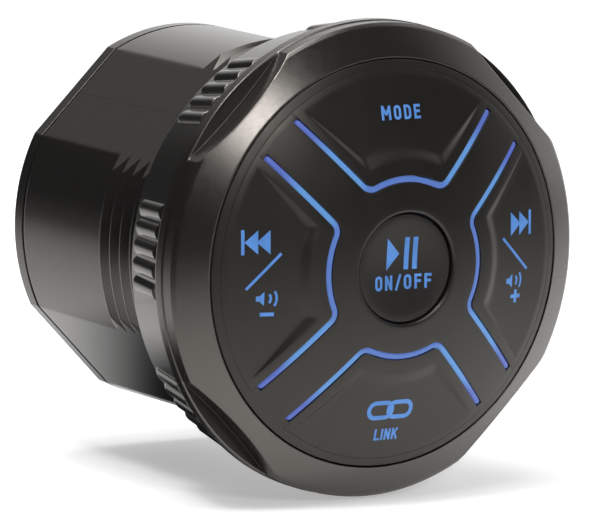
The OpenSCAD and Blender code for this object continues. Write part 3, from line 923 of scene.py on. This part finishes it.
def power_key(rear_y):
    """Round key in the middle: a flat lip with a rounded edge about a shallow hollow."""
    lip_r = POWER_PAD_R - POWER_EDGE
    profile = [(0, power_at(0))]
    hollow = np.linspace(SPOTS_FROM_AXIS, lip_r, HOLLOW_STEPS)
    profile += [(radius, power_at(radius)) for radius in hollow]
    edge = arc((0, 0), POWER_EDGE, POWER_EDGE_TURN, 0, CORNER_STEPS)
    profile += [(lip_r + x, power_at(lip_r) + POWER_EDGE - y) for x, y in edge]
    back = dome_at(POWER_R) + FACE_WALL
    profile += [(POWER_PAD_R, back), (0, back)]
    return joined(lathe(profile, sides=RING_SIDES), key_stem(0, power_at(0) + POWER_STEM_SINK, rear_y))


def make_keys():
    """Four sector keys and the round key in the middle."""
    rear_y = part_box("mode_key")[1].y / MM
    upper = joined(sector_key(), key_stem(STEM_AT, dome_at(STEM_AT) + STEM_SINK, rear_y))
    for quarters, name in enumerate(("mode", "next", "link", "previous")):
        key = piece(f"{name}_pad", quarter_turned(upper, quarters), silicone, name)
        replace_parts(key, f"{name}_key")
    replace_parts(piece("power_pad", power_key(rear_y), silicone, "power"), "power_key")


# Screws of the rear cover

def socket_screw(turn):
    """Screw of the rear cover, with a hexagonal socket in its head."""
    x, z = polar(SCREW_AT, turn)
    points, faces = lathe([
        (0, HEAD_Y - SOCKET_DEPTH),
        (SOCKET_R, HEAD_Y - SOCKET_DEPTH),
        (SOCKET_R, HEAD_Y),
        (HEAD_R - HEAD_EDGE, HEAD_Y),
        (HEAD_R, HEAD_Y - HEAD_EDGE),
        (HEAD_R, SEAT_Y),
        (SHANK_R, SEAT_Y),
        (SHANK_R, TIP_Y + HEAD_EDGE),
        (SHANK_R - HEAD_EDGE, TIP_Y),
        (0, TIP_Y),
    ], x, z)
    # The first two rings, the socket's floor and mouth, are drawn in to a hexagon
    for i in range(1, 2 * LATHE_SIDES + 1):
        px, y, pz = points[i]
        lean = math.atan2(pz - z, px - x) % (math.pi / 3)
        flat = math.cos(math.pi / 6) / math.cos(lean - math.pi / 6)
        points[i] = (x + (px - x) * flat, y, z + (pz - z) * flat)
    return points, faces


def make_rear_screws():
    """Four screws of the rear cover."""
    turns = (90 - SCREW_TURN, 90 + SCREW_TURN, 270 - SCREW_TURN, 270 + SCREW_TURN)
    shells = [socket_screw(turn) for turn in turns]
    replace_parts(piece("cover_screws", joined(*shells), FINISHES["steel"], "set"), "rear_screws")


# Parting lines of the barrel

def make_parting_lines():
    """Fine moulding line along two opposite flats of the barrel."""
    half = PARTING_W / 2
    low = FLAT_R - PARTING_SINK
    high = FLAT_R + PARTING_H
    section = ((low, -half), (low, half), (high, half), (high, -half))
    corners = [diagonal(along, across) for along, across in section]
    points = [(x, y, z) for y in PARTING_Y for x, z in corners]
    faces = [(0, 1, 2, 3), (7, 6, 5, 4)]
    faces += [(i, i + 4, (i + 1) % 4 + 4, (i + 1) % 4) for i in range(4)]
    shell = joined(*(quarter_turned((points, faces), quarters) for quarters in (1, 3)))
    piece("parting_lines", shell, FINISHES["rubber"], "set")


# Light lines

def line_strip(shift, drop):
    """Upper light line's outline, drawn in by shift and sunk by drop."""
    low = LINE_SIDE + shift
    return lifted(ribbon(low, LINE_W - low, LINE_END_R - shift), LINE_SINK + drop)


def make_light_lines():
    """Four bent light lines, almost flush with the face."""
    folds = [line_strip(shift, drop) for shift, drop in LINE_CROWN]
    edge = line_strip(0, LINE_EDGE_DROP)
    upper = slab([edge], folds, [], lambda point: behind_dome(point, GUIDE_T))
    shell = joined(*(quarter_turned(upper, quarters) for quarters in range(4)))
    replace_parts(piece("light_lines", shell, light, "set"), "light_guides")


# Signs on the keys: their places on the face and their sizes

MODE_WORD_AT = (0.7, 32.2)
MODE_WORD_H = 2.95
MODE_WORD_GAP = 0.26
BACK_AT = (-34.0, 6.7)
QUIETER_AT = (-31.2, -5.1)
MINUS_AT = (-31.2, -8.4)
LEFT_SLASH = [(-35.9, -3.1), (-28.6, 4.3)]
FORWARD_AT = (32.2, 7.1)
LOUDER_AT = (30.7, -5.0)
PLUS_AT = (31.2, -8.4)
RIGHT_SLASH = [(26.7, 4.3), (34.3, -2.8)]
CHAIN_AT = (0, -30.5)
LINK_WORD_AT = (0, -35.9)
LINK_WORD_H = 2.5
PLAY_AT = (-1.6, 3.0)
POWER_WORD_AT = (0, -3.0)
POWER_WORD_H = 3.1
POWER_WORD_GAP = 0.24
MINUS_W = 3.0
PLUS_W = 2.8
PLUS_LINE = 0.8
SLASH_LINE = 0.58
WAVE_LINE = 0.5
CHAIN_LINE = 0.95
SIGN_PROUD = 0.03
SIGN_T = 0.2
LETTER_W = 0.6
LETTER_LINE = 0.19
LETTER_GAP = 0.14
MITRE_LIMIT = 0.4


def stroke(path, width):
    """Outline of a line of even width along a path."""
    left = []
    right = []
    for i, (x, z) in enumerate(path):
        before = Vector(path[max(i - 1, 0)])
        after = Vector(path[min(i + 1, len(path) - 1)])
        here = Vector((x, z))
        first = (here - before).normalized() if i > 0 else (after - here).normalized()
        second = (after - here).normalized() if i < len(path) - 1 else first
        middle = (first + second).normalized()
        reach = width / 2 / max(middle.dot(second), MITRE_LIMIT)
        side = Vector((-middle.y, middle.x)) * reach
        left.append((x + side.x, z + side.y))
        right.append((x - side.x, z - side.y))
    return left + right[::-1]


def round_box_halves(width, height, corner, line_w):
    """Two strokes that make a box with round corners, its lower left corner at zero."""
    lo = line_w / 2
    x1 = width - lo
    z1 = height - lo
    right = [(width / 2, lo)]
    right += arc((x1 - corner, lo + corner), corner, 270, 360, CORNER_STEPS)
    right += arc((x1 - corner, z1 - corner), corner, 0, 90, CORNER_STEPS)
    right.append((width / 2, z1))
    return [stroke(right, line_w), stroke([(width - x, z) for x, z in right], line_w)]


def letter(sign):
    """Outlines of a capital letter of height 1, or of a slash, and its width."""
    w = LETTER_W
    t = LETTER_LINE
    half = t / 2
    post = stroke([(half, 0), (half, 1)], t)
    far_post = stroke([(w - half, 0), (w - half, 1)], t)
    foot = stroke([(0, half), (w * 0.92, half)], t)
    top = stroke([(0, 1 - half), (w * 0.92, 1 - half)], t)
    waist = stroke([(0, 0.52), (w * 0.84, 0.52)], t)
    if sign == "O":
        return round_box_halves(w, 1, 0.2, t), w
    if sign == "D":
        corner = 0.22
        bow = [(half, half)]
        bow += arc((w - half - corner, half + corner), corner, 270, 360, CORNER_STEPS)
        bow += arc((w - half - corner, 1 - half - corner), corner, 0, 90, CORNER_STEPS)
        bow.append((half, 1 - half))
        return [post, stroke(bow, t)], w
    if sign == "E":
        return [post, foot, waist, top], w * 0.92
    if sign == "F":
        return [post, waist, top], w * 0.9
    if sign == "I":
        return [post], t
    if sign == "K":
        return [
            post,
            stroke([(half, 0.4), (w - half * 0.6, 1)], t),
            stroke([(w * 0.42, 0.58), (w - half * 0.4, 0)], t),
        ], w
    if sign == "L":
        return [post, foot], w * 0.88
    if sign == "M":
        wide = w * 1.3
        return [
            post,
            stroke([(wide - half, 0), (wide - half, 1)], t),
            stroke([(half, 1 - half * 0.4), (wide / 2, 0.36)], t),
            stroke([(wide - half, 1 - half * 0.4), (wide / 2, 0.36)], t),
        ], wide
    if sign == "N":
        return [post, far_post, stroke([(half, 1 - half * 0.5), (w - half, half * 0.5)], t)], w
    return [stroke([(half * 0.6, -0.04), (w * 0.72, 1.04)], t * 0.9)], w * 0.78


def word(signs, centre, height, gap=LETTER_GAP):
    """Outlines of a word in plain capitals about a centre."""
    outlines = []
    x = 0.0
    for sign in signs:
        shapes, width = letter(sign)
        outlines += [[(x + px, pz) for px, pz in shape] for shape in shapes]
        x += width + gap
    length = x - gap
    return [
        [(centre[0] + (px - length / 2) * height, centre[1] + (pz - 0.5) * height) for px, pz in outline]
        for outline in outlines
    ]


def bar(centre, width, height):
    """Upright rectangle about a centre."""
    x, z = centre
    return [
        (x - width / 2, z - height / 2), (x + width / 2, z - height / 2),
        (x + width / 2, z + height / 2), (x - width / 2, z + height / 2),
    ]


def arrow(tip, width, height):
    """Triangle with its tip at a point; a width below zero points it to the left."""
    x, z = tip
    return [(x, z), (x - width, z + height / 2), (x - width, z - height / 2)]


def track_sign(centre, side):
    """Two arrows and a bar that stand for the next track; side -1 is the one before."""
    x, z = centre
    width = side * 2.9
    return [
        arrow((x - side * 0.2, z), width, 5.0),
        arrow((x + side * 2.4, z), width, 5.0),
        bar((x + side * 2.75, z), 0.7, 5.2),
    ]


def speaker_sign(centre):
    """Loudspeaker with two sound waves."""
    x, z = centre
    body = [(-2.5, -0.55), (-1.75, -0.55), (-0.75, -1.45), (-0.75, 1.45), (-1.75, 0.55), (-2.5, 0.55)]
    return [
        [(x + px, z + pz) for px, pz in body],
        stroke(arc((x - 0.7, z), 1.35, -42, 42, 8), WAVE_LINE),
        stroke(arc((x - 0.7, z), 2.6, -36, 36, 10), WAVE_LINE),
    ]


def chain_sign(centre):
    """Two links of a chain."""
    x, z = centre
    width = 6.6
    height = 4.2
    outlines = []
    for shift in (-5.7, -0.9):
        for half in round_box_halves(width, height, 1.55, CHAIN_LINE):
            outlines.append([(x + shift + px, z - height / 2 + pz) for px, pz in half])
    return outlines


def play_sign(centre):
    """Arrow and two bars for play and pause."""
    x, z = centre
    height = 6.8
    bar_w = 1.15
    return [
        arrow((x + 0.6, z), 3.2, height),
        bar((x + 2.4, z), bar_w, height),
        bar((x + 4.5, z), bar_w, height),
    ]


def make_sign(name, outlines, height, body):
    """Lit sign let into the front of a key."""
    shell = stamp(outlines, lambda x, z: height(math.hypot(x, z)) - SIGN_PROUD, SIGN_T)
    piece(name, shell, legend, body)


def make_signs():
    """Signs on the five keys."""
    upper = word("MODE", MODE_WORD_AT, MODE_WORD_H, MODE_WORD_GAP)
    make_sign("mode_sign", upper, dish_floor, "mode")
    before = track_sign(BACK_AT, -1) + speaker_sign(QUIETER_AT)
    before += [bar(MINUS_AT, MINUS_W, PLUS_LINE), stroke(LEFT_SLASH, SLASH_LINE)]
    make_sign("previous_sign", before, dish_floor, "previous")
    after = track_sign(FORWARD_AT, 1) + speaker_sign(LOUDER_AT)
    after += [bar(PLUS_AT, PLUS_W, PLUS_LINE), bar(PLUS_AT, PLUS_LINE, PLUS_W)]
    after.append(stroke(RIGHT_SLASH, SLASH_LINE))
    make_sign("next_sign", after, dish_floor, "next")
    lower = chain_sign(CHAIN_AT) + word("LINK", LINK_WORD_AT, LINK_WORD_H)
    make_sign("link_sign", lower, dish_floor, "link")
    middle = play_sign(PLAY_AT) + word("ON/OFF", POWER_WORD_AT, POWER_WORD_H, POWER_WORD_GAP)
    make_sign("power_sign", middle, power_at, "power")


make_frame()
make_keys()
make_rear_screws()
make_parting_lines()
make_light_lines()
make_signs()


# Studio, in metres; the floor's painted shade and painted glow run from a metre in front of the object to
# a metre behind it

FLOOR_GREY = 0.8
FLOOR_HALF = 6.0
FLOOR_GAP = 0.0005
# Painted shade: the floor's colour for all rays but the camera's is dark far in front and pale behind
PAINTED_FRONT_SHADE = ((0.12, 0.12), (0.38, FLOOR_GREY))
# Painted glow: the floor shines only in reflections, not at all in front and more towards the back
PAINTED_FLOOR_GLOW = ((0.42, 0.0), (0.5, 0.36), (0.56, 0.42), (0.7, 0.75))
# Painted shadow under the object and painted shade far to the left, in what all rays but the camera's see
# of the floor
SHADE_AT = (-0.035, 0.05, cad_box[0].z)
SHADE_SIZE = (0.085, 0.055, 1.0)
SHADE_EDGE = (0.45, 1.15)
SHADE_LEAST = 0.03
LEFT_SHADE_FADE = (-0.3, -0.03)
LEFT_SHADE_LEAST = 0.1
WHITE_FADE = (0.1, 0.5)
WHITE_GLOW = (0.4, 0.8)
ROOM_BRIGHT_SIDE = (0.75, 0.45, 0.3)
ROOM_TONES = ((0.0, 0.03), (0.7, 0.03), (0.75, 0.05), (0.8, 0.3), (0.85, 0.72), (0.91, 1.0))
ROOM_STRENGTH = 1.15


def make_world():
    """Room that is bright on the right and behind, and dark on the left and in front."""
    world = bpy.data.worlds.new("studio")
    scene.world = world
    world.use_nodes = True
    tree = world.node_tree
    background = tree.nodes["Background"]
    facing = tree.nodes.new("ShaderNodeVectorMath")
    facing.operation = "DOT_PRODUCT"
    facing.inputs[1].default_value = ROOM_BRIGHT_SIDE
    tree.links.new(tree.nodes.new("ShaderNodeTexCoord").outputs["Generated"], facing.inputs[0])
    share = spread(tree, facing.outputs["Value"], (-1, 1), (0, 1))
    tree.links.new(grey_ramp(tree, share, ROOM_TONES), background.inputs["Color"])
    background.inputs["Strength"].default_value = ROOM_STRENGTH


def painted_floor_shade(tree, place, aside):
    """Socket of painted shade: low under the object, where it paints the object's shadow, and far to the
    left; one elsewhere.
    """
    shade = tree.nodes.new("ShaderNodeMapping")
    shade.vector_type = "TEXTURE"
    shade.inputs["Location"].default_value = SHADE_AT
    shade.inputs["Scale"].default_value = SHADE_SIZE
    tree.links.new(place, shade.inputs["Vector"])
    under = spread(tree, length_of(tree, shade.outputs["Vector"]), SHADE_EDGE, (SHADE_LEAST, 1))
    left = spread(tree, aside, LEFT_SHADE_FADE, (LEFT_SHADE_LEAST, 1))
    return combined(tree, "MULTIPLY", under, left)


def make_floor_with_painted_shade():
    """Pale floor, white away from the object for the camera, with painted shade, a painted shadow and a
    painted glow in what other rays see.
    """
    material, tree, shader = new_material("floor", (FLOOR_GREY, FLOOR_GREY, FLOOR_GREY), 0.9, specular=0.0)
    place = object_place(tree)
    parts = axes(tree, place)
    depth = spread(tree, parts["Y"], (-1, 1), (0, 1))
    # clear: the painted shadow under the object and the painted shade on the left
    clear = painted_floor_shade(tree, place, parts["X"])
    ray = tree.nodes.new("ShaderNodeLightPath").outputs
    plain = spread(tree, ray["Is Camera Ray"], (0, 1), (0, FLOOR_GREY))
    # Painted shade in the floor's colour for all rays but the camera's
    shaded = combined(tree, "MULTIPLY", clear, grey_ramp(tree, depth, PAINTED_FRONT_SHADE))
    tree.links.new(combined(tree, "MAXIMUM", plain, shaded), shader.inputs["Base Color"])
    away = spread(tree, axis_distance(tree, place, (1, 1, 0)), WHITE_FADE, WHITE_GLOW)
    seen = combined(tree, "MULTIPLY", ray["Is Camera Ray"], away)
    # Painted glow that only reflections see, held back where the shadow and the shade are painted
    glow = combined(tree, "MULTIPLY", grey_ramp(tree, depth, PAINTED_FLOOR_GLOW), clear)
    mirrors = combined(tree, "MAXIMUM", ray["Is Glossy Ray"], ray["Is Transmission Ray"])
    reflected = combined(tree, "MULTIPLY", mirrors, glow)
    shader.inputs["Emission Color"].default_value = (1, 1, 1, 1)
    tree.links.new(combined(tree, "ADD", seen, reflected), shader.inputs["Emission Strength"])
    return material


def make_floor():
    """Plain floor just under the object."""
    mesh = bpy.data.meshes.new("floor")
    half = FLOOR_HALF
    level = cad_box[0].z - FLOOR_GAP
    corners = [(-half, -half, level), (half, -half, level), (half, half, level), (-half, half, level)]
    mesh.from_pydata(corners, [], [(0, 1, 2, 3)])
    floor = bpy.data.objects.new("floor", mesh)
    scene.collection.objects.link(floor)
    mesh.materials.append(make_floor_with_painted_shade())


def softbox(name, direction, distance, side, watts, spread_angle):
    """Square lamp that looks at the object from a direction."""
    data = bpy.data.lights.new(name, "AREA")
    data.size = side
    data.energy = watts
    data.spread = math.radians(spread_angle)
    lamp = bpy.data.objects.new(name, data)
    scene.collection.objects.link(lamp)
    away = Vector(direction).normalized()
    lamp.location = away * distance
    lamp.rotation_euler = away.to_track_quat("Z", "Y").to_euler()


make_world()
make_floor()
softbox("key_lamp", (-0.1, -0.86, 0.5), distance=0.9, side=0.44, watts=0.15, spread_angle=24)
softbox("top_lamp", (-0.15, -0.03, 0.95), distance=0.8, side=0.85, watts=1.7, spread_angle=60)
softbox("back_lamp", (-0.13, 0.8, 0.6), distance=1.0, side=0.45, watts=0.14, spread_angle=180)
softbox("edge_lamp", (-0.43, -0.1, 0.89), distance=0.8, side=0.12, watts=0.1, spread_angle=40)
